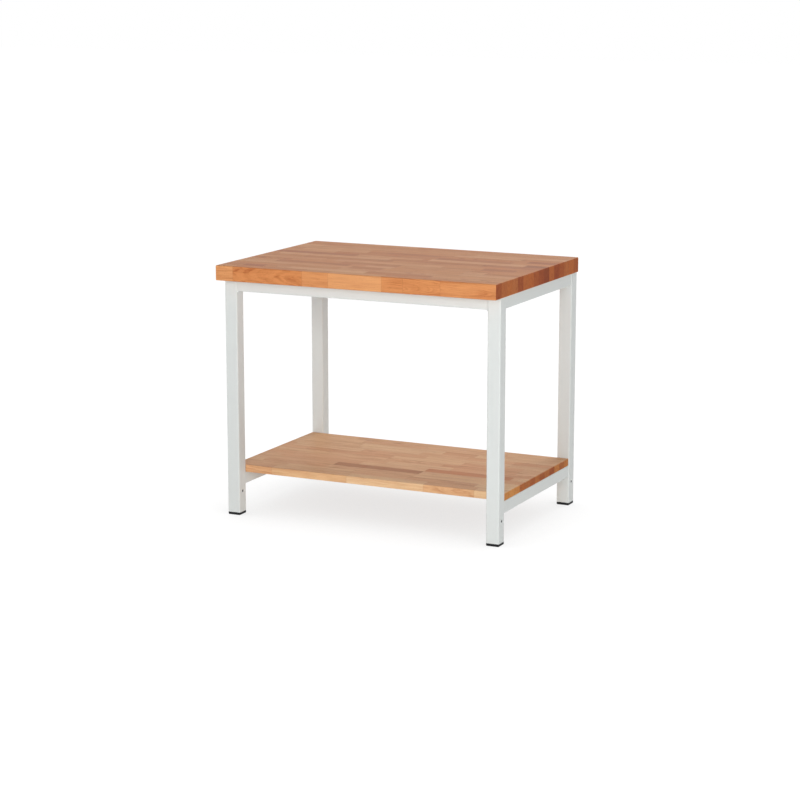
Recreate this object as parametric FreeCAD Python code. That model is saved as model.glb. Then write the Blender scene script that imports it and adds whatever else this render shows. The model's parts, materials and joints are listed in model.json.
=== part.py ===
import FreeCAD, Part
import os

# Assembly table: a solid beech worktop on a frame of square steel tube, with a beech shelf near the floor.
# The two side frames are welded. Two long rails with end plates are bolted between them.
# Units are millimetres. X runs along the table, Y from its front to its rear, and Z up.
# The origin is on the floor, under the middle of the worktop.

# Overall size
table_length = 1000.0
table_depth = 700.0
table_height = 850.0

# Worktop
worktop_thickness = 50.0
worktop_edge_radius = 3.0

# How far the worktop reaches past the frame
end_overhang = 5.0
front_overhang = 50.0
rear_overhang = 0.0

# Legs
leg_size = 45.0
leg_wall = 2.0
leg_corner_radius = 4.0

# Rails
rail_size = 40.0
rail_wall = 2.0
rail_corner_radius = 3.0

# Shelf
shelf_rail_height = 100.0
shelf_thickness = 25.0
shelf_edge_chamfer = 1.5
shelf_gap = 2.0

# Holes through each leg, to link tables or to fix something to a side
link_hole_height = 80.0
link_hole_diameter = 9.0

# End plates of the long rails
plate_thickness = 4.0
plate_drop = 3.0

# Windows in the long rails, through which the hexagon screws are turned
window_length = 46.0
window_land = 4.0
window_setback = 5.0
window_corner_radius = 4.0

# M8 hexagon screws, and the tapped plates that they turn into
bolt_diameter = 8.0
bolt_length = 18.0
bolt_hole_diameter = 9.0
bolt_head_width = 13.0
bolt_head_height = 5.3
bolt_head_clearance = 1.0
nut_plate_thickness = 8.0
nut_plate_margin = 8.0
nut_plate_clearance = 0.5
thread_clearance = 0.05

# Hexagon head wood screws, driven from below through the rails
screw_diameter = 6.0
screw_head_width = 10.0
screw_head_height = 4.0
screw_hole_diameter = 7.0
screw_access_diameter = 16.0
screw_pilot_clearance = 0.1
worktop_screw_bite = 30.0
shelf_screw_bite = 16.0
board_screw_inset = 120.0

# Feet: plastic plugs pushed into the open lower ends of the legs
foot_height = 9.0
foot_edge_chamfer = 1.5
plug_length = 24.0
plug_wall = 2.5
plug_web = 2.0
plug_corner_cut = 2.5
barb_count = 4
barb_height = 3.0
barb_reach = 2.0
barb_clearance = 0.15

# Sizes that follow from the ones above
X_AXIS = FreeCAD.Vector(1, 0, 0)
Y_AXIS = FreeCAD.Vector(0, 1, 0)
Z_AXIS = FreeCAD.Vector(0, 0, 1)

worktop_underside = table_height - worktop_thickness
frame_length = table_length - 2 * end_overhang
rail_recess = (leg_size - rail_size) / 2
leg_bore = leg_size - 2 * leg_wall
leg_bore_radius = leg_corner_radius - leg_wall
rail_bore = rail_size - 2 * rail_wall

leg_x = (frame_length - leg_size) / 2
leg_inner_x = leg_x - leg_size / 2
front_leg_y = -table_depth / 2 + front_overhang + leg_size / 2
rear_leg_y = table_depth / 2 - rear_overhang - leg_size / 2
side_rail_front_y = front_leg_y + leg_size / 2
side_rail_rear_y = rear_leg_y - leg_size / 2
side_rail_length = side_rail_rear_y - side_rail_front_y
long_rail_end_x = leg_inner_x - plate_thickness

upper_rail_z = worktop_underside - rail_size / 2
shelf_rail_z = shelf_rail_height + rail_size / 2
shelf_underside = shelf_rail_height + rail_size

bolt_spacing = rail_bore - bolt_head_width - 2 * bolt_head_clearance
bolt_heights = (upper_rail_z - bolt_spacing / 2, upper_rail_z + bolt_spacing / 2)

SIDES = {"left": -1, "right": 1}
ROWS = {"front": front_leg_y, "rear": rear_leg_y}
CORNERS = [(side, leg_y) for side in SIDES.values() for leg_y in ROWS.values()]

board_screw_ys = (side_rail_front_y + board_screw_inset, side_rail_rear_y - board_screw_inset)
board_screws = [(side * leg_x, y) for side in SIDES.values() for y in board_screw_ys]


def point(x, y, z):
    """A point in the table's frame."""
    return FreeCAD.Vector(x, y, z)


def aimed(shape, direction, start):
    """The shape with its Z axis turned to a direction and its origin moved to a start point."""
    placed = shape.copy()
    placed.Placement = FreeCAD.Placement(start, FreeCAD.Rotation(Z_AXIS, direction))
    return placed


def rod(diameter, start, direction, length):
    """A plain cylinder from a start point."""
    return Part.makeCylinder(diameter / 2, length, start, direction)


def rounded_outline(width, depth, radius):
    """A closed outline in the XY plane, centred on the origin, with four round corners."""
    reach_x = width / 2 - radius
    reach_y = depth / 2 - radius
    centres = ((reach_x, reach_y), (-reach_x, reach_y), (-reach_x, -reach_y), (reach_x, -reach_y))
    corners = []
    for quarter, (x, y) in enumerate(centres):
        start_angle = 90 * quarter
        corners.append(Part.makeCircle(radius, point(x, y, 0), Z_AXIS, start_angle, start_angle + 90))
    edges = []
    for corner, following in zip(corners, corners[1:] + corners[:1]):
        edges.append(corner)
        edges.append(Part.makeLine(corner.Vertexes[-1].Point, following.Vertexes[0].Point))
    return Part.Wire(edges)


def rounded_bar(width, depth, radius, length):
    """A solid bar of rounded section that stands on the XY plane."""
    return Part.Face(rounded_outline(width, depth, radius)).extrude(Z_AXIS * length)


def square_tube(size, wall, radius, length):
    """A square tube that stands on the XY plane."""
    bore = size - 2 * wall
    return rounded_bar(size, size, radius, length).cut(rounded_bar(bore, bore, radius - wall, length))


def hexagon_head(width, height, corner_angle):
    """A hexagon head under the XY plane, with one corner at an angle from X."""
    reach = width / 3 ** 0.5
    corners = []
    for index in range(7):
        turn = FreeCAD.Rotation(Z_AXIS, corner_angle + 60 * index)
        corners.append(turn.multVec(X_AXIS * reach))
    return Part.Face(Part.makePolygon(corners)).extrude(-Z_AXIS * height)


def cut_corner_bar(width, corner_cut, length):
    """A square bar that stands on the XY plane, with its four edges cut at 45 degrees."""
    half = width / 2
    inner = half - corner_cut
    corners = [point(half, inner, 0), point(inner, half, 0)]
    for quarter in (90, 180, 270):
        turn = FreeCAD.Rotation(Z_AXIS, quarter)
        corners += [turn.multVec(corner) for corner in corners[:2]]
    return Part.Face(Part.makePolygon(corners + corners[:1])).extrude(Z_AXIS * length)


def board_blank(length, depth, thickness, centre_y, underside):
    """A square-edged board, centred on X = 0."""
    return Part.makeBox(length, depth, thickness, point(-length / 2, centre_y - depth / 2, underside))


def pilot_holes(screw_points, underside, bite):
    """Blind holes in a board's underside, a little wider and deeper than the screws."""
    pilot = screw_diameter + 2 * screw_pilot_clearance
    return [rod(pilot, point(x, y, underside - 1), Z_AXIS, bite + 2) for x, y in screw_points]


def worktop():
    """The worktop: one board glued up from beech staves, with rounded edges."""
    blank = board_blank(table_length, table_depth, worktop_thickness, 0.0, worktop_underside)
    rounded = blank.makeFillet(worktop_edge_radius, blank.Edges)
    return rounded.cut(pilot_holes(board_screws, worktop_underside, worktop_screw_bite))


def shelf_board():
    """The shelf lies on the side rails, between the front and rear legs, and has chamfered edges."""
    length = frame_length - 2 * rail_recess
    depth = side_rail_length - 2 * shelf_gap
    centre_y = (side_rail_front_y + side_rail_rear_y) / 2
    blank = board_blank(length, depth, shelf_thickness, centre_y, shelf_underside)
    chamfered = blank.makeChamfer(shelf_edge_chamfer, blank.Edges)
    return chamfered.cut(pilot_holes(board_screws, shelf_underside, shelf_screw_bite))


def leg(side, leg_y):
    """A leg: square tube with link holes near the floor and screw holes at the top."""
    tube = square_tube(leg_size, leg_wall, leg_corner_radius, worktop_underside - foot_height)
    tube.translate(point(side * leg_x, leg_y, foot_height))
    outside = point(side * leg_x - leg_size, leg_y, link_hole_height)
    holes = [rod(link_hole_diameter, outside, X_AXIS, 2 * leg_size)]
    for bolt_z in bolt_heights:
        start = point(side * (leg_inner_x - 1), leg_y, bolt_z)
        holes.append(rod(bolt_hole_diameter, start, X_AXIS * side, leg_wall + 2))
    return tube.cut(holes)


def rail_screw_holes(x, y, rail_z):
    """A clearance hole in a rail's upper wall, and a wider one below it that lets the head in."""
    middle = point(x, y, rail_z)
    return [rod(screw_hole_diameter, middle, Z_AXIS, rail_size),
            rod(screw_access_diameter, middle, -Z_AXIS, rail_size)]


def side_rail(side, rail_z):
    """A rail that is welded between the front and the rear leg of one side."""
    tube = square_tube(rail_size, rail_wall, rail_corner_radius, side_rail_length)
    rail = aimed(tube, Y_AXIS, point(side * leg_x, side_rail_front_y, rail_z))
    for y in board_screw_ys:
        rail = rail.cut(rail_screw_holes(side * leg_x, y, rail_z))
    return rail


def rail_window(side, leg_y, inward):
    """The cutter for one window in the inner wall of a long rail."""
    height = rail_size - 2 * (rail_corner_radius + window_land)
    cutter = rounded_bar(window_length, height, window_corner_radius, rail_size)
    cutter = aimed(cutter, Y_AXIS * inward, point(0, 0, 0))
    middle_x = long_rail_end_x - window_setback - window_length / 2
    cutter.translate(point(side * middle_x, leg_y, upper_rail_z))
    return cutter


def long_rail(leg_y, inward):
    """A front or rear rail, with a window at each end on the side that faces into the table."""
    tube = square_tube(rail_size, rail_wall, rail_corner_radius, 2 * long_rail_end_x)
    rail = aimed(tube, X_AXIS, point(-long_rail_end_x, leg_y, upper_rail_z))
    return rail.cut([rail_window(side, leg_y, inward) for side in SIDES.values()])


def drilled_plate(side, leg_y, near_x, thickness, depth, low_z, high_z, hole_diameter):
    """A flat plate across the table's length, with a hole at each screw of one corner."""
    corner = point(min(side * near_x, side * (near_x + thickness)), leg_y - depth / 2, low_z)
    plate = Part.makeBox(thickness, depth, high_z - low_z, corner)
    holes = []
    for bolt_z in bolt_heights:
        start = point(side * (near_x - 1), leg_y, bolt_z)
        holes.append(rod(hole_diameter, start, X_AXIS * side, thickness + 2))
    return plate.cut(holes)


def end_plate(side, leg_y):
    """The plate that closes the end of a long rail and lies against the leg."""
    low_z = worktop_underside - rail_size - plate_drop
    return drilled_plate(side, leg_y, long_rail_end_x, plate_thickness, rail_size,
                         low_z, worktop_underside, bolt_hole_diameter)


def nut_plate(side, leg_y):
    """A tapped bar inside the leg, drawn against its inner wall by the two screws."""
    depth = leg_bore - 2 * (leg_bore_radius + nut_plate_clearance)
    return drilled_plate(side, leg_y, leg_inner_x + leg_wall, nut_plate_thickness, depth,
                         bolt_heights[0] - nut_plate_margin, bolt_heights[1] + nut_plate_margin,
                         bolt_diameter + 2 * thread_clearance)


def frame_bolt(side, leg_y, bolt_z):
    """An M8 hexagon screw, with flats above and below so that two heads fit in the rail."""
    shank = rod(bolt_diameter, point(0, 0, 0), Z_AXIS, bolt_length)
    bolt = hexagon_head(bolt_head_width, bolt_head_height, 90).fuse(shank)
    return aimed(bolt, X_AXIS * side, point(side * long_rail_end_x, leg_y, bolt_z))


def wood_screw(bite, x, y, rail_top):
    """A hexagon head wood screw that bears on the inside of a rail's upper wall."""
    shank = rod(screw_diameter, point(0, 0, 0), Z_AXIS, rail_wall + bite)
    screw = hexagon_head(screw_head_width, screw_head_height, 0).fuse(shank)
    screw.translate(point(x, y, rail_top - rail_wall))
    return screw


def barb_profile():
    """The stem's outline from the side: two straight edges, each with a barb at every step up it."""
    stem_reach = leg_bore / 2 - barb_reach
    barb_width = leg_bore / 2 - barb_clearance
    barb_pitch = (plug_length - barb_height) / barb_count
    edge = [(stem_reach, 0.0)]
    for index in range(barb_count):
        base = (index + 1) * barb_pitch
        edge += [(stem_reach, base), (barb_width, base), (stem_reach, base + barb_height)]
    corners = [point(x, 0, z) for x, z in edge] + [point(-x, 0, z) for x, z in reversed(edge)]
    return Part.makePolygon(corners + corners[:1])


def plug_stem():
    """A foot plug's hollow stem, barbed on its four sides, with a cross of webs inside."""
    hollow_size = leg_bore - 2 * (barb_reach + plug_wall)
    slab = Part.Face(barb_profile()).extrude(Y_AXIS * leg_bore)
    slab.translate(point(0, -leg_bore / 2, 0))
    turned_slab = aimed(slab, Z_AXIS, point(0, 0, 0))
    turned_slab.rotate(point(0, 0, 0), Z_AXIS, 90)
    stem = slab.common(turned_slab)
    stem = stem.common(cut_corner_bar(leg_bore, plug_corner_cut, plug_length))
    stem = stem.cut(cut_corner_bar(hollow_size, plug_corner_cut, plug_length))
    web_reach = hollow_size + plug_wall
    webs = [Part.makeBox(web_reach, plug_web, plug_length, point(-web_reach / 2, -plug_web / 2, 0)),
            Part.makeBox(plug_web, web_reach, plug_length, point(-plug_web / 2, -web_reach / 2, 0))]
    return stem.fuse(webs)


def foot(side, leg_y):
    """A foot: a tread as wide as the leg, under a barbed stem that holds it in the tube."""
    tread = rounded_bar(leg_size, leg_size, leg_corner_radius, foot_height)
    sole_edges = [edge for edge in tread.Edges if edge.BoundBox.ZMax < foot_height / 2]
    tread = tread.makeChamfer(foot_edge_chamfer, sole_edges)
    stem = plug_stem()
    stem.translate(point(0, 0, foot_height))
    plug = tread.fuse(stem).removeSplitter()
    plug.translate(point(side * leg_x, leg_y, 0))
    return plug


def build():
    """Every part of the table, by name."""
    parts = {"worktop": worktop(), "shelf_board": shelf_board()}
    parts["front_long_rail"] = long_rail(front_leg_y, 1)
    parts["rear_long_rail"] = long_rail(rear_leg_y, -1)
    for side_name, side in SIDES.items():
        parts[side_name + "_upper_rail"] = side_rail(side, upper_rail_z)
        parts[side_name + "_shelf_rail"] = side_rail(side, shelf_rail_z)
        for row_name, leg_y in ROWS.items():
            corner = row_name + "_" + side_name
            parts[corner + "_leg"] = leg(side, leg_y)
            parts[corner + "_foot"] = foot(side, leg_y)
            parts[corner + "_end_plate"] = end_plate(side, leg_y)
    bolts = [frame_bolt(side, leg_y, z) for side, leg_y in CORNERS for z in bolt_heights]
    parts["frame_bolts"] = Part.makeCompound(bolts)
    parts["nut_plates"] = Part.makeCompound([nut_plate(side, leg_y) for side, leg_y in CORNERS])
    worktop_screws = [wood_screw(worktop_screw_bite, x, y, worktop_underside) for x, y in board_screws]
    parts["worktop_screws"] = Part.makeCompound(worktop_screws)
    shelf_screws = [wood_screw(shelf_screw_bite, x, y, shelf_underside) for x, y in board_screws]
    parts["shelf_screws"] = Part.makeCompound(shelf_screws)
    return parts


os.makedirs("parts", exist_ok=True)
for name, shape in build().items():
    shape.exportStep("parts/" + name + ".step")
    print(name, len(shape.Solids), "solids", round(shape.Volume / 1000, 2), "cm3", "valid", shape.isValid())
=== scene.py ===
# %% [markdown]
# # An assembly table of beech and square steel tube
# The table has a thick beech worktop on a frame of square tube, a thinner beech shelf low between the legs
# and black plastic feet. Its construction is already modelled, part by part and at its real size, so this
# lesson starts by loading it. What is left to make is what the eye sees: the wood, the paint, the plastic,
# the zinc and the weld beads that hold the tubes together.

# %% Load the construction
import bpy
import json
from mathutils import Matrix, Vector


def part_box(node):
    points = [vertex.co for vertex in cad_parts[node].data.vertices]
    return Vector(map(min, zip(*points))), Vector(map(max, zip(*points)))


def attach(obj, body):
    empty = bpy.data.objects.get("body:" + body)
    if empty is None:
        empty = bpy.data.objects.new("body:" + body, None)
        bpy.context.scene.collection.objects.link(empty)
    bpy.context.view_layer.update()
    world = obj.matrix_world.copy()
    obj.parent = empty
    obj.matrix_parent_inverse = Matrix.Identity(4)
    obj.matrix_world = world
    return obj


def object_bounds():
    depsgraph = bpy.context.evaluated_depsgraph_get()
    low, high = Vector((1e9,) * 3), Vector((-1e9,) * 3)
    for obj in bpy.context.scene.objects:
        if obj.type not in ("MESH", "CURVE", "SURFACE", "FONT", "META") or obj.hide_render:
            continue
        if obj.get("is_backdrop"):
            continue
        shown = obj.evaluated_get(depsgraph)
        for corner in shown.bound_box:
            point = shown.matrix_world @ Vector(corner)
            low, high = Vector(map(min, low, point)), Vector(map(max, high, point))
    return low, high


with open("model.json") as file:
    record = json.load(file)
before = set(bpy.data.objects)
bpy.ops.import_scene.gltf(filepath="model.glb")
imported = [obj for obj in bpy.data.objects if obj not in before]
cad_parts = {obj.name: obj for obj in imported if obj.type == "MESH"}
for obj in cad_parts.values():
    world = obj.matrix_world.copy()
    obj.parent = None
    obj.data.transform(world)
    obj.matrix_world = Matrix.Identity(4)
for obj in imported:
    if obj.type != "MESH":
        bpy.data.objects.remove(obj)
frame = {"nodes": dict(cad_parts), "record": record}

cad_low, cad_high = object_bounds()
print("parts:", len(frame["nodes"]))
print("size in metres:", [round(side, 3) for side in cad_high - cad_low])

# %% [markdown]
# ## Tools for every step
# Blender works in metres and the workshop in millimetres, so one value holds the scale between them.
# Colours are given as sRGB hex values, but a shader computes in linear light, so one function
# turns them. A material is a tree of nodes, and one small function adds a node, sets its properties and
# links its inputs.

# %% Imports and the two helpers
import json
import math

import bmesh
import bpy
from mathutils import Vector

MM = 0.001


def linear(hex_colour):
    """The linear colour of an sRGB hex value such as #D9A066."""
    channels = [int(hex_colour[start:start + 2], 16) / 255 for start in (1, 3, 5)]
    return [c / 12.92 if c <= 0.04045 else ((c + 0.055) / 1.055) ** 2.4 for c in channels] + [1.0]


def add_node(tree, kind, inputs=(), output=0, **settings):
    """Adds a node, sets its properties, and sets or links its inputs: a list in order, or a dict by name.
    It returns the output that is asked for by number or name."""
    node = tree.nodes.new("ShaderNode" + kind)
    for name, value in settings.items():
        setattr(node, name, value)
    sockets = [socket for socket in node.inputs if socket.enabled]
    if isinstance(inputs, dict):
        pairs = [(next(socket for socket in sockets if socket.name == name), value)
                 for name, value in inputs.items()]
    else:
        pairs = list(zip(sockets, inputs))
    for socket, value in pairs:
        if isinstance(value, bpy.types.NodeSocket):
            tree.links.new(value, socket)
        else:
            socket.default_value = value
    results = [socket for socket in node.outputs if socket.enabled]
    if isinstance(output, str):
        return next(socket for socket in results if socket.name == output)
    return results[output] if results else node


print("mid grey #808080 is", round(linear("#808080")[0], 3), "in linear light")

# %% [markdown]
# ## Camera
# Furniture is shown with a long lens, because that keeps its upright edges nearly parallel. The camera
# stands far off, a little higher than a person, and looks down at the table over its front right corner.
# It could be aimed with a constraint, but two plain angles are easier to read and to keep.

# %% Set up the camera
# The lens is in millimetres, and the place and the farthest distance that is drawn are in metres.
camera_lens = 100.12
camera_place = (3.183, -6.597, 1.857)
camera_turn = math.radians(25.74)
camera_tilt = math.radians(11.40)
camera_reach = 200

camera_data = bpy.data.cameras.new("camera")
camera_data.lens = camera_lens
camera_data.clip_end = camera_reach
camera = bpy.data.objects.new("camera", camera_data)
camera.location = camera_place
camera.rotation_euler = (math.radians(90) - camera_tilt, 0, camera_turn)
bpy.context.scene.collection.objects.link(camera)
bpy.context.scene.camera = camera
bpy.context.scene.view_settings.view_transform = "Standard"
print("camera to table:", round((camera.location - (cad_low + cad_high) / 2).length, 2), "m")

# %% [markdown]
# ## Light
# A studio lights furniture with big soft boxes, so that nothing glares and the shadows have no edge. A
# wide sun lamp would be as soft, but it lights the far legs like the near ones. The light of a real soft
# box fades with distance, so area lamps stand round the table: the main one in front of it, a weaker one
# to its right that leaves the side faces a shade darker, a faint one to its left and one behind it. The
# first three are low, to reach under the overhang of the worktop. The one behind is high, where the oiled
# wood does not mirror it to the camera. The world fills the rest.

# %% Place the soft boxes
# Each box: how far it is turned round the table from its front and its height above the floor, in degrees,
# and its light on a card that faces it at the table's middle, where 1 makes a white card fully white. The
# distance and the width of a box are in metres.
soft_boxes = {
    "front_soft_box": (12, 12, 0.44),
    "right_soft_box": (60, 12, 0.26),
    "left_soft_box": (-80, 12, 0.20),
    "rear_soft_box": (168, 46, 0.28),
}
box_distance = 6.5
box_width = 2.8


def soft_box(name, turn, height, light):
    """A square area lamp that shines on the middle of the table from a turn and a height in degrees."""
    lamp = bpy.data.lights.new(name, "AREA")
    lamp.size = box_width
    # One watt lights a white card that faces the lamp to 1 / (pi * distance) ** 2.
    lamp.energy = light * (math.pi * box_distance) ** 2
    holder = bpy.data.objects.new(name, lamp)
    holder.rotation_euler = (math.radians(90 - height), 0, math.radians(turn))
    backwards = holder.rotation_euler.to_matrix() @ Vector((0, 0, box_distance))
    holder.location = (cad_low + cad_high) / 2 + backwards
    holder.visible_camera = False
    bpy.context.scene.collection.objects.link(holder)


for name, (turn, height, light) in soft_boxes.items():
    soft_box(name, turn, height, light)
print("soft boxes:", ", ".join(soft_boxes))

# %% [markdown]
# ## White surroundings
# The background is plain white, but a white world would also flood the table with light. Light Path tells
# rays apart: the camera and the reflections see white, and the light that falls on the table comes from a
# dimmer grey. The floor works the same way. On a real white floor the wood would throw a warm stain into
# the shadow, and studios cool it again in print. Here an Ambient Occlusion node dims the floor's own glow
# where the table stands close over it. That shadow has no colour, and a little paint is left to show the
# shadow of the lamps.

# %% World
world_light = 0.18

world = bpy.data.worlds.new("studio")
world.use_nodes = True
bpy.context.scene.world = world


def seen_directly(tree):
    """1 for rays from the camera, a reflection or a clear material, and 0 for the light that falls."""
    camera_ray = add_node(tree, "LightPath", output="Is Camera Ray")
    path = camera_ray.node.outputs
    seen = add_node(tree, "Math", [camera_ray, path["Is Glossy Ray"]], operation="ADD")
    return add_node(tree, "Math", [seen, path["Is Transmission Ray"]], operation="ADD", use_clamp=True)


tree = world.node_tree
backdrop = tree.nodes["Background"]
backdrop.inputs["Color"].default_value = (1, 1, 1, 1)
seen = seen_directly(tree)
brightness = add_node(tree, "MapRange", {"Value": seen, "To Min": world_light, "To Max": 1.0})
tree.links.new(brightness, backdrop.inputs["Strength"])
print("world: white to the eye,", world_light, "as light")

# %% Floor
# Values in twos: for the light that falls on the table, and for rays that see the floor. Where nothing
# stands over the floor, the open glow is added to what is seen, and the two make a full white.
floor_glow = (0.20, 0.72)
floor_grey = (0.85, 0.10)
floor_open_glow = 0.28
shadow_samples = 4
# In metres: how far round itself the floor looks for the table, and how wide the floor is.
shadow_reach = 0.8
floor_size = 60

floor_mesh = bpy.data.meshes.new("floor")
sheet = bmesh.new()
bmesh.ops.create_grid(sheet, x_segments=1, y_segments=1, size=floor_size / 2)
sheet.to_mesh(floor_mesh)
sheet.free()
floor = bpy.data.objects.new("floor", floor_mesh)
bpy.context.scene.collection.objects.link(floor)
floor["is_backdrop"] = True

floor_material = bpy.data.materials.new("white_studio_floor")
floor_material.use_nodes = True
tree = floor_material.node_tree
tree.nodes.clear()
seen = seen_directly(tree)
grey = add_node(tree, "MapRange", {"Value": seen, "To Min": floor_grey[0], "To Max": floor_grey[1]})
paint = add_node(tree, "BsdfDiffuse", {"Color": grey})
openness = add_node(tree, "AmbientOcclusion", {"Distance": shadow_reach}, output="AO",
                    samples=shadow_samples)
seen_glow = add_node(tree, "Math", [openness, floor_open_glow, floor_glow[1]], operation="MULTIPLY_ADD")
strength = add_node(tree, "MapRange", {"Value": seen, "To Min": floor_glow[0], "To Max": seen_glow})
glow = add_node(tree, "Emission", {"Strength": strength})
lit = add_node(tree, "AddShader", [paint, glow])
underneath = add_node(tree, "NewGeometry", output="Backfacing")
clear = add_node(tree, "BsdfTransparent")
add_node(tree, "OutputMaterial", [add_node(tree, "MixShader", [underneath, lit, clear])])
floor_mesh.materials.append(floor_material)
print("floor", floor_size, "m wide, clear from below so that the underside can be looked at")

# %% [markdown]
# ## Beech boards
# The worktop and the shelf are glued up from beech staves: long square bars, side by side in rows, and
# butted end to end within a row. An image of a board would repeat and would not turn the corner from the
# top to the ends. Here the pattern is computed in the solid wood instead. Every stave has its own place in
# a tree trunk, with growth rings round a pith that lies somewhere beside it, so that one rule gives
# straight lines on a quarter-sawn face, arched figure on a flat-sawn one and arcs on the end grain. The
# pattern reads Object coordinates, in millimetres from the board's front left lower corner.

# %% Beech: values
# Steamed beech, sanded and oiled: a pale pinkish brown with short dark flecks, satin, and darker and
# rougher at the ends of the grain, which drink more oil.
beech_ior = 1.5
beech_roughness = (0.46, 0.58)
end_roughness = 0.20
beech_specular = 0.24
grain_tint = "#C8A08A"
glue_tint = "#A07050"
glue_darkness = 0.6
# In millimetres: a glue line is about 0.1 wide, and is drawn 0.5 wide so that it shows. The planer takes a
# little off the front row and the back row.
glue_line = 0.5
planed_off = 1.0

# Each board has so many rows of staves, of about this length. Its tones run from dull brown heartwood
# through red and pink to pale sapwood. The staves drawn by chance keep to the mixed tones, and a few that
# catch the eye are listed: row, start and end in millimetres, tone, strength of figure and side of the
# pith. The bars were cut to length after gluing, so a listed stave at a board's end runs past it.
boards = {
    "worktop": {
        "rows": 16, "stave_length": 300.0, "seed": 3.0, "mixed_tones": (0.42, 0.92),
        "tones": ["#A8703F", "#C47746", "#D98F55", "#E29F66", "#EDB481"],
        "end_grain": ("#D8B591", "#BC9274"),
        "picked": [
            (0, -25, 65, 0.76, 0.5, 0.20), (0, 65, 320, 0.50, 0.85, 0.02), (0, 320, 415, 0.68, 0.3, 0.95),
            (0, 415, 605, 0.79, 0.1, 0.30), (0, 605, 680, 0.56, 0.9, 0.05), (0, 680, 810, 0.56, 0.7, 0.55),
            (0, 810, 1025, 0.60, 0.9, 0.47),
            (1, 75, 150, 0.30, 0.3, 0.40), (1, 240, 520, 0.98, 0.2, 0.10), (3, 420, 535, 0.45, 0.4, 0.20),
            (4, 450, 555, 0.92, 0.2, 0.60), (4, 880, 1025, 0.56, 1.0, 0.90), (5, 345, 555, 0.42, 0.5, 0.30),
            (5, 880, 1025, 0.70, 0.3, 0.30), (6, 300, 690, 0.88, 0.3, 0.15), (6, 830, 945, 0.28, 0.3, 0.70),
            (7, 850, 1025, 0.58, 0.7, 0.65), (8, 40, 455, 0.92, 0.2, 0.45), (8, 790, 1025, 0.36, 0.7, 0.30),
            (9, -25, 310, 0.26, 0.4, 0.15), (9, 580, 925, 0.96, 0.2, 0.60), (9, 925, 1025, 0.18, 0.8, 0.25),
            (10, 590, 860, 0.34, 0.4, 0.80), (11, 380, 570, 0.36, 0.6, 0.45),
            (11, 900, 1025, 0.30, 0.7, 0.20), (12, 860, 1025, 0.55, 0.6, 0.20),
        ],
    },
    "shelf_board": {
        "rows": 13, "stave_length": 260.0, "seed": 11.0, "mixed_tones": (0.43, 0.90),
        "tones": ["#AE7F55", "#D38C58", "#E6B485", "#ECC191", "#F3CFA2"],
        "end_grain": ("#E0B880", "#B98258"),
        "picked": [
            (0, -25, 140, 0.50, 0.6, 0.10), (0, 140, 420, 0.72, 0.4, 0.30), (0, 420, 700, 0.95, 0.2, 0.90),
            (0, 700, 880, 0.60, 0.6, 0.05), (0, 880, 1010, 0.90, 0.2, 0.60), (1, 860, 1010, 1.00, 0.0, 0.20),
            (2, 900, 1010, 0.85, 0.1, 0.75), (3, 305, 623, 0.12, 0.4, 0.35), (3, 910, 1010, 0.46, 0.6, 0.25),
            (4, 623, 930, 0.26, 0.3, 0.55), (9, 850, 1010, 0.40, 0.9, 0.15), (10, 570, 690, 0.45, 0.5, 0.15),
        ],
    },
}
for name, board in boards.items():
    low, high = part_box(name)
    board["stave_width"] = ((high.y - low.y) / MM + 2 * planed_off) / board["rows"]
    print(name, "has", board["rows"], "rows of staves,", round(board["stave_width"], 2), "mm wide")

# %% [markdown]
# ### Which stave is this?
# A row is found by dividing the depth by the stave's width. The glued board is planed, which takes a
# little off its front and back rows, so no glue line falls on a face. Along the row, a one-dimensional
# Voronoi pattern cuts uneven lengths and gives each a random colour, which serves as three numbers for the
# stave: its tone, how strong its figure is, and on which side its pith lay. The picked staves are laid
# over that.

# %% Beech: staves
# Each row is shifted along by chance, by up to this many staves. The lengths of the staves vary not at all
# at 0, and fully at 1.
row_shift = 90.0
length_variation = 0.8


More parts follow.
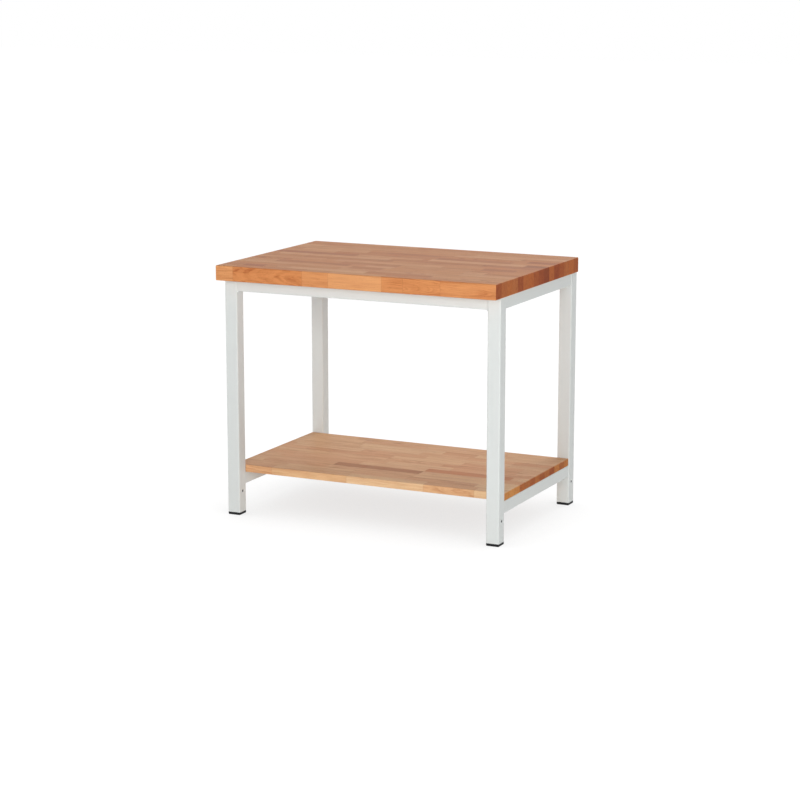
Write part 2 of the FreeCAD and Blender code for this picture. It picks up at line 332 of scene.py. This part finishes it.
def stave_nodes(tree, board):
    """Nodes that tell the staves of a board apart. They give the place in millimetres, the share of the way
    across the stave, its three numbers and the distance to the nearest butt joint."""
    low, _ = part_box(board)
    values = boards[board]
    room = add_node(tree, "TexCoord", output="Object")
    place = add_node(tree, "Mapping", {"Vector": room, "Location": -low / MM, "Scale": (1 / MM,) * 3})
    x = add_node(tree, "SeparateXYZ", [place])
    rows = add_node(tree, "Math", [x.node.outputs["Y"], planed_off], operation="ADD")
    rows = add_node(tree, "Math", [rows, values["stave_width"]], operation="DIVIDE")
    row = add_node(tree, "Math", [rows], operation="FLOOR")
    across = add_node(tree, "Math", [rows], operation="FRACT")

    shift = add_node(tree, "TexWhiteNoise", {"W": row}, noise_dimensions="1D")
    shift = add_node(tree, "Math", [shift, row_shift, values["seed"]], operation="MULTIPLY_ADD")
    along = add_node(tree, "Math", [x, 1 / values["stave_length"], shift], operation="MULTIPLY_ADD")
    cells = {"W": along, "Scale": 1.0, "Randomness": length_variation}
    numbers = add_node(tree, "TexVoronoi", cells, output="Color", voronoi_dimensions="1D")
    darkest, lightest = values["mixed_tones"]
    span = (lightest - darkest, 1, 1)
    numbers = add_node(tree, "VectorMath", [numbers, span, (darkest, 0, 0)], operation="MULTIPLY_ADD")
    joint = add_node(tree, "TexVoronoi", cells, voronoi_dimensions="1D", feature="DISTANCE_TO_EDGE")
    joint = add_node(tree, "Math", [joint, values["stave_length"]], operation="MULTIPLY")

    for picked_row, start, end, *picked_numbers in values["picked"]:
        # How far a point lies beyond the stave's nearer end: below zero it is inside.
        in_row = add_node(tree, "Math", [row, picked_row, 0.5], operation="COMPARE")
        beyond = add_node(tree, "Math", [x, (start + end) / 2], operation="SUBTRACT")
        beyond = add_node(tree, "Math", [beyond], operation="ABSOLUTE")
        beyond = add_node(tree, "Math", [beyond, (end - start) / 2], operation="SUBTRACT")
        inside = add_node(tree, "Math", [beyond, 0.0], operation="LESS_THAN")
        inside = add_node(tree, "Math", [inside, in_row], operation="MULTIPLY")
        to_end = add_node(tree, "Math", [beyond], operation="ABSOLUTE")
        nearest = add_node(tree, "Math", [joint, to_end], operation="MINIMUM")
        joint = add_node(tree, "Mix", [in_row, joint, nearest])
        joint = add_node(tree, "Mix", [inside, joint, to_end])
        numbers = add_node(tree, "Mix", [inside, numbers, (*picked_numbers, 1)], data_type="RGBA")
    return place, across, numbers, joint


# %% [markdown]
# ### Rings, fibres and flecks
# Within a stave, the distance to its pith gives the growth rings. The pith leans a little, so rings run
# out of the faces in arches, and a slow noise bends them and lets them fade. Stretched noise adds the slow
# streaks, the fibres and the short flecks. All of them darken the stave's own tone.

# %% Beech: the pith
# The pith lies this many millimetres from its stave, and leans by up to so many per millimetre of length.
# The sine of a large multiple of the stave's tone serves as one more number: which way the pith leans.
pith_distance = 75.0
pith_lean = 0.16
lean_multiple = 20.0


def pith_nodes(tree, board, place, across, tone):
    """Nodes for where a point lies from the pith of its stave, in millimetres. Only Y and Z count."""
    low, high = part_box(board)
    stave_width = boards[board]["stave_width"]
    thickness = (high.z - low.z) / MM
    x = add_node(tree, "SeparateXYZ", [place])
    y = add_node(tree, "Math", [across, stave_width, -stave_width / 2], operation="MULTIPLY_ADD")
    z = add_node(tree, "Math", [x.node.outputs["Z"], thickness / 2], operation="SUBTRACT")
    in_stave = add_node(tree, "CombineXYZ", {"Y": y, "Z": z})

    strength, side = tone.node.outputs["Green"], tone.node.outputs["Blue"]
    angle = add_node(tree, "Math", [side, 2 * math.pi], operation="MULTIPLY")
    towards_y = add_node(tree, "Math", [angle], operation="COSINE")
    towards_z = add_node(tree, "Math", [angle], operation="SINE")
    to_pith = add_node(tree, "CombineXYZ", {"Y": towards_y, "Z": towards_z})
    lean = add_node(tree, "Math", [tone, lean_multiple], operation="MULTIPLY")
    lean = add_node(tree, "Math", [lean], operation="SINE")
    lean = add_node(tree, "Math", [lean, strength], operation="MULTIPLY")
    lean = add_node(tree, "Math", [lean, pith_lean], operation="MULTIPLY")
    distance = add_node(tree, "Math", [lean, x, pith_distance], operation="MULTIPLY_ADD")
    to_pith = add_node(tree, "VectorMath", {"Vector": to_pith, "Scale": distance}, operation="SCALE")
    return add_node(tree, "VectorMath", [in_stave, to_pith], operation="SUBTRACT")


# %% Beech: growth rings
# In millimetres: the width of a ring, how far it is bent, and how long and wide its bends are.
ring_width = 2.4
ring_bend = 9.0
bend_length = 90.0
bend_width = 22.0
# The values of a noise where an effect begins and where it is full: the dark of a ring in the rings' own
# noise, and how far the slow noise lets the rings show. The weight is how dark they get.
ring_contrast = (0.42, 0.72)
ring_fade = (0.35, 0.65)
ring_weight = 0.95


def ring_nodes(tree, wood_place, from_pith, strength):
    """Nodes for how much the growth rings darken the wood."""
    scale = (1 / bend_length, 1 / bend_width, 1 / bend_width)
    bend = add_node(tree, "Mapping", {"Vector": wood_place, "Scale": scale})
    bend = add_node(tree, "TexNoise", {"Vector": bend, "Scale": 1.0, "Detail": 2.0}, output="Color")
    fade = add_node(tree, "SeparateXYZ", [bend])
    start, stop = ring_fade
    fade = add_node(tree, "MapRange", {"Value": fade, "From Min": start, "From Max": stop})
    bent = add_node(tree, "VectorMath", [bend, (ring_bend,) * 3, from_pith], operation="MULTIPLY_ADD")
    bent = add_node(tree, "VectorMath", [bent, (0, 1, 1)], operation="MULTIPLY")
    rings = add_node(tree, "VectorMath", [bent], operation="LENGTH")
    rings = add_node(tree, "Math", [rings, ring_width], operation="DIVIDE")
    rings = add_node(tree, "TexNoise", {"W": rings, "Scale": 1.0, "Detail": 1.0}, noise_dimensions="1D")
    start, stop = ring_contrast
    rings = add_node(tree, "MapRange", {"Value": rings, "From Min": start, "From Max": stop})
    rings = add_node(tree, "Math", [rings, strength], operation="MULTIPLY")
    rings = add_node(tree, "Math", [rings, fade], operation="MULTIPLY")
    return add_node(tree, "Math", [rings, ring_weight], operation="MULTIPLY")


# %% Beech: the whole figure
# Each stave takes its noise from another place, up to this many millimetres away.
wood_spread = 900.0
# The finer grains: length and width in millimetres, where their noise begins to darken and where that is
# full, and how much. A fibre is 0.02 mm wide, and is drawn 1.5 mm wide so that it shows. The rays of beech
# show as flecks 2 to 4 mm long, and are drawn 7 mm long so that they show.
grains = {
    "streaks": (240.0, 11.0, 0.45, 0.75, 0.35),
    "fibres": (60.0, 1.5, 0.42, 0.72, 0.30),
    "flecks": (7.0, 1.2, 0.60, 0.68, 0.35),
}


def figure_nodes(tree, board, place, across, numbers):
    """Nodes for a stave's tone, for how much its figure darkens it, and for its fibres and flecks."""
    tone = add_node(tree, "SeparateColor", [numbers])
    from_pith = pith_nodes(tree, board, place, across, tone)
    spread = (wood_spread,) * 3
    wood_place = add_node(tree, "VectorMath", [numbers, spread, place], operation="MULTIPLY_ADD")
    dark = ring_nodes(tree, wood_place, from_pith, tone.node.outputs["Green"])
    shown = {}
    for name, (length, width, start, stop, weight) in grains.items():
        scale = (1 / length, 1 / width, 1 / width)
        grain = add_node(tree, "Mapping", {"Vector": wood_place, "Scale": scale})
        grain = add_node(tree, "TexNoise", {"Vector": grain, "Scale": 1.0, "Detail": 2.0})
        grain = add_node(tree, "MapRange", {"Value": grain, "From Min": start, "From Max": stop})
        dark = add_node(tree, "Math", [grain, weight, dark], operation="MULTIPLY_ADD", use_clamp=True)
        shown[name] = grain
    return tone, dark, shown["fibres"], shown["flecks"]


# %% [markdown]
# ### The finished wood
# The tone comes from a colour ramp. The figure, the end grain and the glue lines multiply it, as a stain
# does, which keeps the wood's hue. A sanded and oiled face is satin, and the fibres break its gloss.

# %% Beech: material
# How much a face looks along the board, from 0 to 1, makes it end grain: not at all up to the first share,
# and fully from the second. The pores and flecks are this deep, in millimetres, and bumped this strongly.
end_facing = (0.5, 0.9)
pore_depth = 0.04
pore_strength = 0.3


def new_finish(name):
    """A material with its node tree and its Principled shader."""
    material = bpy.data.materials.new(name)
    material.use_nodes = True
    return material, material.node_tree, material.node_tree.nodes["Principled BSDF"]


def beech(board):
    """Oiled steamed beech, glued up from staves."""
    values = boards[board]
    material, tree, shader = new_finish("oiled_beech_" + board)
    place, across, numbers, joint = stave_nodes(tree, board)
    tone, dark, fibres, flecks = figure_nodes(tree, board, place, across, numbers)

    colour = add_node(tree, "ValToRGB", [tone])
    ramp = colour.node.color_ramp
    while len(ramp.elements) < len(values["tones"]):
        ramp.elements.new(1.0)
    for index, hex_colour in enumerate(values["tones"]):
        ramp.elements[index].position = index / (len(values["tones"]) - 1)
        ramp.elements[index].color = linear(hex_colour)

    strength = tone.node.outputs["Green"]
    end_tints = [linear(tint) for tint in values["end_grain"]]
    end_tint = add_node(tree, "Mix", [strength, *end_tints], data_type="RGBA")
    facing = add_node(tree, "TexCoord", output="Normal")
    facing = add_node(tree, "VectorMath", [facing], operation="ABSOLUTE")
    facing = add_node(tree, "SeparateXYZ", [facing])
    start, stop = end_facing
    end_grain = add_node(tree, "MapRange", {"Value": facing, "From Min": start, "From Max": stop})

    seam = add_node(tree, "Math", [across, 0.5], operation="PINGPONG")
    seam = add_node(tree, "Math", [seam, values["stave_width"]], operation="MULTIPLY")
    seam = add_node(tree, "Math", [seam, joint], operation="MINIMUM")
    seam = add_node(tree, "Math", [seam, glue_line / 2], operation="LESS_THAN")
    seam = add_node(tree, "Math", [seam, glue_darkness], operation="MULTIPLY")

    for share, tint in ((dark, linear(grain_tint)), (end_grain, end_tint), (seam, linear(glue_tint))):
        colour = add_node(tree, "Mix", [share, colour, tint], data_type="RGBA", blend_type="MULTIPLY")
    tree.links.new(colour, shader.inputs["Base Color"])
    smooth, rough = beech_roughness
    gloss = add_node(tree, "MapRange", {"Value": fibres, "To Min": smooth, "To Max": rough})
    gloss = add_node(tree, "Math", [end_grain, end_roughness, gloss], operation="MULTIPLY_ADD")
    tree.links.new(gloss, shader.inputs["Roughness"])
    shader.inputs["IOR"].default_value = beech_ior
    shader.inputs["Specular IOR Level"].default_value = beech_specular
    pores = add_node(tree, "Math", [fibres, flecks], operation="ADD")
    relief = {"Strength": pore_strength, "Distance": -pore_depth * MM, "Height": pores}
    bump = add_node(tree, "Bump", relief)
    tree.links.new(bump, shader.inputs["Normal"])
    return material


finishes = {board: beech(board) for board in boards}
for board, material in finishes.items():
    print(material.name, "has", len(material.node_tree.nodes), "nodes")

# %% [markdown]
# ## Powder-coated steel
# The tubes are sprayed with a light grey polyester powder that melts in an oven. It flows out into a tough
# satin film with a faint orange-peel skin: soft dimples about 2 mm apart, a few hundredths of a millimetre
# deep, on slow waves of the film. One noise makes the dimples and one the waves. The charged powder clings
# to the outside and hardly gets into a tube, so through the holes the dark scale of the rolled steel
# shows. The walls of a hole would be coated too, but past a shallow rim the same dark is put on them as
# painted shade in the hole. A tube's walls are thin, so the pattern has to tell how deep under its outline
# a point lies.

# %% Powder coat
# Polyester powder coat: light grey and satin, with soft highlights that break up a little.
coat_colour = "#D9DDDB"
coat_shade = (0.985, 1.015)
coat_roughness = (0.36, 0.44)
coat_ior = 1.5
# In millimetres: the dimples' distance and depth, and the waves' distance. The waves are twice as deep.
peel_spacing = 2.0
peel_depth = 0.03
wave_spacing = 40.0
wave_weight = 2.0
# Mill scale: the blue grey oxide of hot rolled steel, matt, inside the tubes. On the walls of the holes the
# same colour stands as painted shade. In millimetres: how deep the coat shows on a hole's edge before that
# painted shade begins, and about what radius the tubes' corners have.
mill_scale_and_hole_shade_colour = "#37393B"
hole_shade_start = 1.0
tube_corner = 3.5


def under_outline(tree, place, tube):
    """1 where a point lies deeper under a tube's rounded outline than the coat is drawn, and 0 outside.
    Deeper in lie the tube's inside and the inner part of each hole's wall, where the dark is painted shade.
    """
    low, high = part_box(tube)
    size = (high - low) / MM
    # The outline is a core with a rounded skin round it. Along the tube the core runs past both ends,
    # because only the depth under the four sides counts.
    core = [side / 2 - tube_corner for side in size]
    core[list(size).index(max(size))] = max(size)
    core = [side * MM for side in core]
    corner = add_node(tree, "VectorMath", [place, (low + high) / 2], operation="SUBTRACT")
    corner = add_node(tree, "VectorMath", [corner], operation="ABSOLUTE")
    corner = add_node(tree, "VectorMath", [corner, core], operation="SUBTRACT")
    corner = add_node(tree, "VectorMath", [corner, (0, 0, 0)], operation="MAXIMUM")
    reach = add_node(tree, "VectorMath", [corner], output="Value", operation="LENGTH")
    return add_node(tree, "Math", [reach, (tube_corner - hole_shade_start) * MM], operation="LESS_THAN")


def powder_coat(name, tube=None):
    """Light grey powder coat with a fine orange peel, dark uncoated steel inside a tube, and painted shade
    on the walls of its holes.
    """
    material, tree, shader = new_finish(name)
    place = add_node(tree, "TexCoord", output="Object")
    peel = add_node(tree, "TexNoise", {"Vector": place, "Scale": 1 / (peel_spacing * MM), "Detail": 1.0})
    waves = add_node(tree, "TexNoise", {"Vector": place, "Scale": 1 / (wave_spacing * MM), "Detail": 2.0})
    height = add_node(tree, "Math", [waves, wave_weight, peel], operation="MULTIPLY_ADD")
    bump = add_node(tree, "Bump", {"Strength": 1.0, "Distance": peel_depth * MM, "Height": height})
    tree.links.new(bump, shader.inputs["Normal"])
    smooth, rough = coat_roughness
    gloss = add_node(tree, "MapRange", {"Value": waves, "To Min": smooth, "To Max": rough})
    tree.links.new(gloss, shader.inputs["Roughness"])
    dark, light = coat_shade
    shade = add_node(tree, "MapRange", {"Value": waves, "To Min": dark, "To Max": light})
    coat = linear(coat_colour)[:3]
    colour = add_node(tree, "VectorMath", {"Vector": coat, "Scale": shade}, operation="SCALE")
    if tube:
        # Dark scale: real inside the tube, and painted shade on the inner part of each hole's wall.
        uncoated_and_hole_shade = under_outline(tree, place, tube)
        colour = add_node(tree, "Mix", [uncoated_and_hole_shade, colour, linear(mill_scale_and_hole_shade_colour)], data_type="RGBA")
    tree.links.new(colour, shader.inputs["Base Color"])
    shader.inputs["IOR"].default_value = coat_ior
    return material


finishes["powder_coated_steel"] = powder_coat("powder_coated_steel")
tubes = [name for name in frame["nodes"] if name.endswith(("_leg", "_rail"))]
for tube in tubes:
    finishes[tube] = powder_coat("powder_coated_" + tube, tube)
print("orange peel:", peel_spacing, "mm apart, on the plates and", len(tubes), "tubes")

# %% [markdown]
# ## Black plastic feet
# The feet are moulded polyethylene plugs. The mould is spark eroded, which leaves a fine matt grain, and
# the plastic is a little waxy.

# %% Moulded plastic
# Moulded polyethylene: nearly black, matt, with a fine grain that breaks up the highlights.
plastic_colour = "#101012"
plastic_shade = (0.8, 1.2)
plastic_roughness = (0.48, 0.62)
plastic_ior = 1.51
plastic_specular = 0.2
# In millimetres: the size and the depth of the grain.
plastic_grain = 0.8
plastic_depth = 0.03
plastic_strength = 0.5


def moulded_plastic():
    """Black moulded polyethylene with a fine spark-eroded grain."""
    material, tree, shader = new_finish("moulded_polyethylene_black")
    place = add_node(tree, "TexCoord", output="Object")
    grain = add_node(tree, "TexNoise", {"Vector": place, "Scale": 1 / (plastic_grain * MM), "Detail": 2.0})
    relief = {"Strength": plastic_strength, "Distance": plastic_depth * MM, "Height": grain}
    bump = add_node(tree, "Bump", relief)
    tree.links.new(bump, shader.inputs["Normal"])
    smooth, rough = plastic_roughness
    gloss = add_node(tree, "MapRange", {"Value": grain, "To Min": smooth, "To Max": rough})
    tree.links.new(gloss, shader.inputs["Roughness"])
    dark, light = plastic_shade
    shade = add_node(tree, "MapRange", {"Value": grain, "To Min": dark, "To Max": light})
    plastic = linear(plastic_colour)[:3]
    colour = add_node(tree, "VectorMath", {"Vector": plastic, "Scale": shade}, operation="SCALE")
    tree.links.new(colour, shader.inputs["Base Color"])
    shader.inputs["IOR"].default_value = plastic_ior
    shader.inputs["Specular IOR Level"].default_value = plastic_specular
    return material


finishes["foot_plastic"] = moulded_plastic()
print("moulded grain:", plastic_grain, "mm")

# %% [markdown]
# ## Zinc-plated screws
# Screws and nut plates are plated with bright zinc. It is a metal, so its colour is the colour of its
# reflections, and the thin passivated layer gives it a faint cloudy blue.

# %% Zinc plate
# Bright zinc plate: a bluish silver, half polished, with cloudy patches about 5 mm wide.
zinc_colours = ("#B4BAC2", "#CDD0CF")
zinc_roughness = (0.26, 0.38)
zinc_cloud = 5.0


def zinc_plate():
    """Bright zinc plate on steel."""
    material, tree, shader = new_finish("zinc_plated_steel")
    place = add_node(tree, "TexCoord", output="Object")
    cloud = add_node(tree, "TexNoise", {"Vector": place, "Scale": 1 / (zinc_cloud * MM), "Detail": 3.0})
    blue, pale = [linear(hex_colour) for hex_colour in zinc_colours]
    colour = add_node(tree, "Mix", [cloud, blue, pale], data_type="RGBA")
    tree.links.new(colour, shader.inputs["Base Color"])
    smooth, rough = zinc_roughness
    gloss = add_node(tree, "MapRange", {"Value": cloud, "To Min": smooth, "To Max": rough})
    tree.links.new(gloss, shader.inputs["Roughness"])
    shader.inputs["Metallic"].default_value = 1.0
    return material


finishes["zinc_plated_steel"] = zinc_plate()
print("finishes:", ", ".join(finishes))

# %% [markdown]
# ## Dress the parts
# Each part's record names the slot that its finish comes from. But each board needs its own staves, and
# each tube's coat has to know the tube's outline, so a part is looked up by its own name before its slot.

# %% Give every part its finish
for subpart in frame["record"]["subparts"]:
    name = subpart["node"]
    finish = finishes.get(name) or finishes[subpart["material_slot"]]
    part = frame["nodes"][name]
    for slot in part.material_slots:
        slot.material = finish

# %% [markdown]
# ## Weld beads
# The side rails are welded between their legs, and the long rails to their end plates. A weld is laid as a
# row of small pools that overlap like fallen coins, and the powder coat only softens them. A bead could be
# a curve with a round bevel, but that would be smooth. Here a small disc is extruded step by step and
# swells at every coin, which gives the ripples as real shape. More than half of each bead is sunk in the
# steel, as the root of a weld is.

# %% Weld beads: one bead
# In millimetres: the bead's radius, the distance between its coins, and how far its ends taper and are cut
# off blunt. The ripple is a share of the radius.
bead_radius = 2.0
coin_pitch = 2.6
bead_taper = 3.0
blunt_end = 0.3
ripple = 0.16
steps_per_coin = 4
bead_sides = 10
# The extrusion hands over its faces in an order that changes from run to run. So they are sorted along a
# slanting line, on which no two faces are level, and every run gives the same mesh.
slanting_line = Vector((1.0, 0.37, 0.73))


def add_bead(welds, start, end, radius):
    """Adds a rippled bead between two points, in millimetres, to a bmesh."""
    run = end - start
    steps = round(run.length / coin_pitch * steps_per_coin)

    def size_at(step):
        """The radius after a number of steps: thin at both ends, and swollen at every coin."""
        along = run.length * step / steps
        to_end = min(along, run.length - along)
        taper = min(1.0, (to_end + blunt_end) / bead_taper)
        coin = abs(math.sin(math.pi * along / coin_pitch))
        return radius * math.sqrt(taper) * (1 - ripple + ripple * coin)

    disc = bmesh.ops.create_circle(welds, cap_ends=True, segments=bead_sides, radius=size_at(0))
    made = list(disc["verts"])
    face = made[0].link_faces[0]
    # The extruded face is given with its edges, so that it moves on and leaves no wall inside the bead.
    for step in range(steps):
        grown = bmesh.ops.extrude_face_region(welds, geom=[face, *face.edges])["geom"]
        face = next(item for item in grown if isinstance(item, bmesh.types.BMFace))
        ring = [item for item in grown if isinstance(item, bmesh.types.BMVert)]
        swell = size_at(step + 1) / size_at(step)
        bmesh.ops.scale(welds, vec=(swell, swell, 1), verts=ring)
        bmesh.ops.translate(welds, vec=(0, 0, run.length / steps), verts=ring)
        made += ring
    bmesh.ops.rotate(welds, matrix=run.to_track_quat("Z", "Y").to_matrix(), verts=made)
    bmesh.ops.translate(welds, vec=start, verts=made)


def weld(name, beads, radius):
    """A piece made of one or more beads. Each bead is a pair of points in millimetres."""
    welds = bmesh.new()
    for start, end in beads:
        add_bead(welds, Vector(start), Vector(end), radius)
    bmesh.ops.recalc_face_normals(welds, faces=welds.faces)
    welds.faces.sort(key=lambda face: face.calc_center_median().dot(slanting_line))
    bmesh.ops.scale(welds, vec=(MM, MM, MM), verts=welds.verts)
    open_edges = sum(not edge.is_manifold for edge in welds.edges)
    mesh = bpy.data.meshes.new(name)
    welds.to_mesh(mesh)
    welds.free()
    mesh.shade_smooth()
    mesh.materials.append(finishes["powder_coated_steel"])
    piece = bpy.data.objects.new(name, mesh)
    bpy.context.scene.collection.objects.link(piece)
    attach(piece, "root")
    return len(mesh.polygons), open_edges


# %% [markdown]
# ### Where the beads lie
# Each side rail has three beads at each end: one up each side face and one under it. They keep clear of
# the rail's round corners. The long rails have one bead at each end, in the step under the rail where the
# end plate reaches lower.

# %% Weld beads: all of them
# In millimetres: the radius of the rails' corners, how far a bead's middle lies off the two faces that it
# joins, and the radius and the side margins of the beads at the end plates.
rail_corner = 3.0
bead_offset = 0.3
plate_bead_radius = 1.4
plate_bead_margin = 5.0
counts = []
for side in ("left", "right"):
    for level in ("upper", "shelf"):
        low, high = (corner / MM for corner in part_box(f"{side}_{level}_rail"))
        foot, top = low.z + rail_corner, high.z - rail_corner
        near, far = low.x + rail_corner + bead_radius, high.x - rail_corner - bead_radius
        for end, y, inwards in (("front", low.y, 1), ("rear", high.y, -1)):
            y += inwards * bead_offset
            beads = [((x, y, foot), (x, y, top)) for x in (low.x - bead_offset, high.x + bead_offset)]
            beads.append(((near, y, low.z - bead_offset), (far, y, low.z - bead_offset)))
            counts.append(weld(f"{side}_{level}_rail_{end}_weld", beads, bead_radius))

for place in ("front", "rear"):
    low, high = (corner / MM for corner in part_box(f"{place}_long_rail"))
    near, far = low.y + plate_bead_margin, high.y - plate_bead_margin
    for side, x in (("left", low.x + bead_offset), ("right", high.x - bead_offset)):
        bead = ((x, near, low.z - bead_offset), (x, far, low.z - bead_offset))
        counts.append(weld(f"{place}_long_rail_{side}_weld", [bead], plate_bead_radius))
print("welds:", len(counts), "with", sum(faces for faces, _ in counts), "faces, open edges:",
      sum(edges for _, edges in counts))

# %% Print how far the welds grew the bounds
new_low, new_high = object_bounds()
growth = [(new_low - cad_low).length, (new_high - cad_high).length]
print("grown by, in mm:", [round(length / MM, 2) for length in growth])
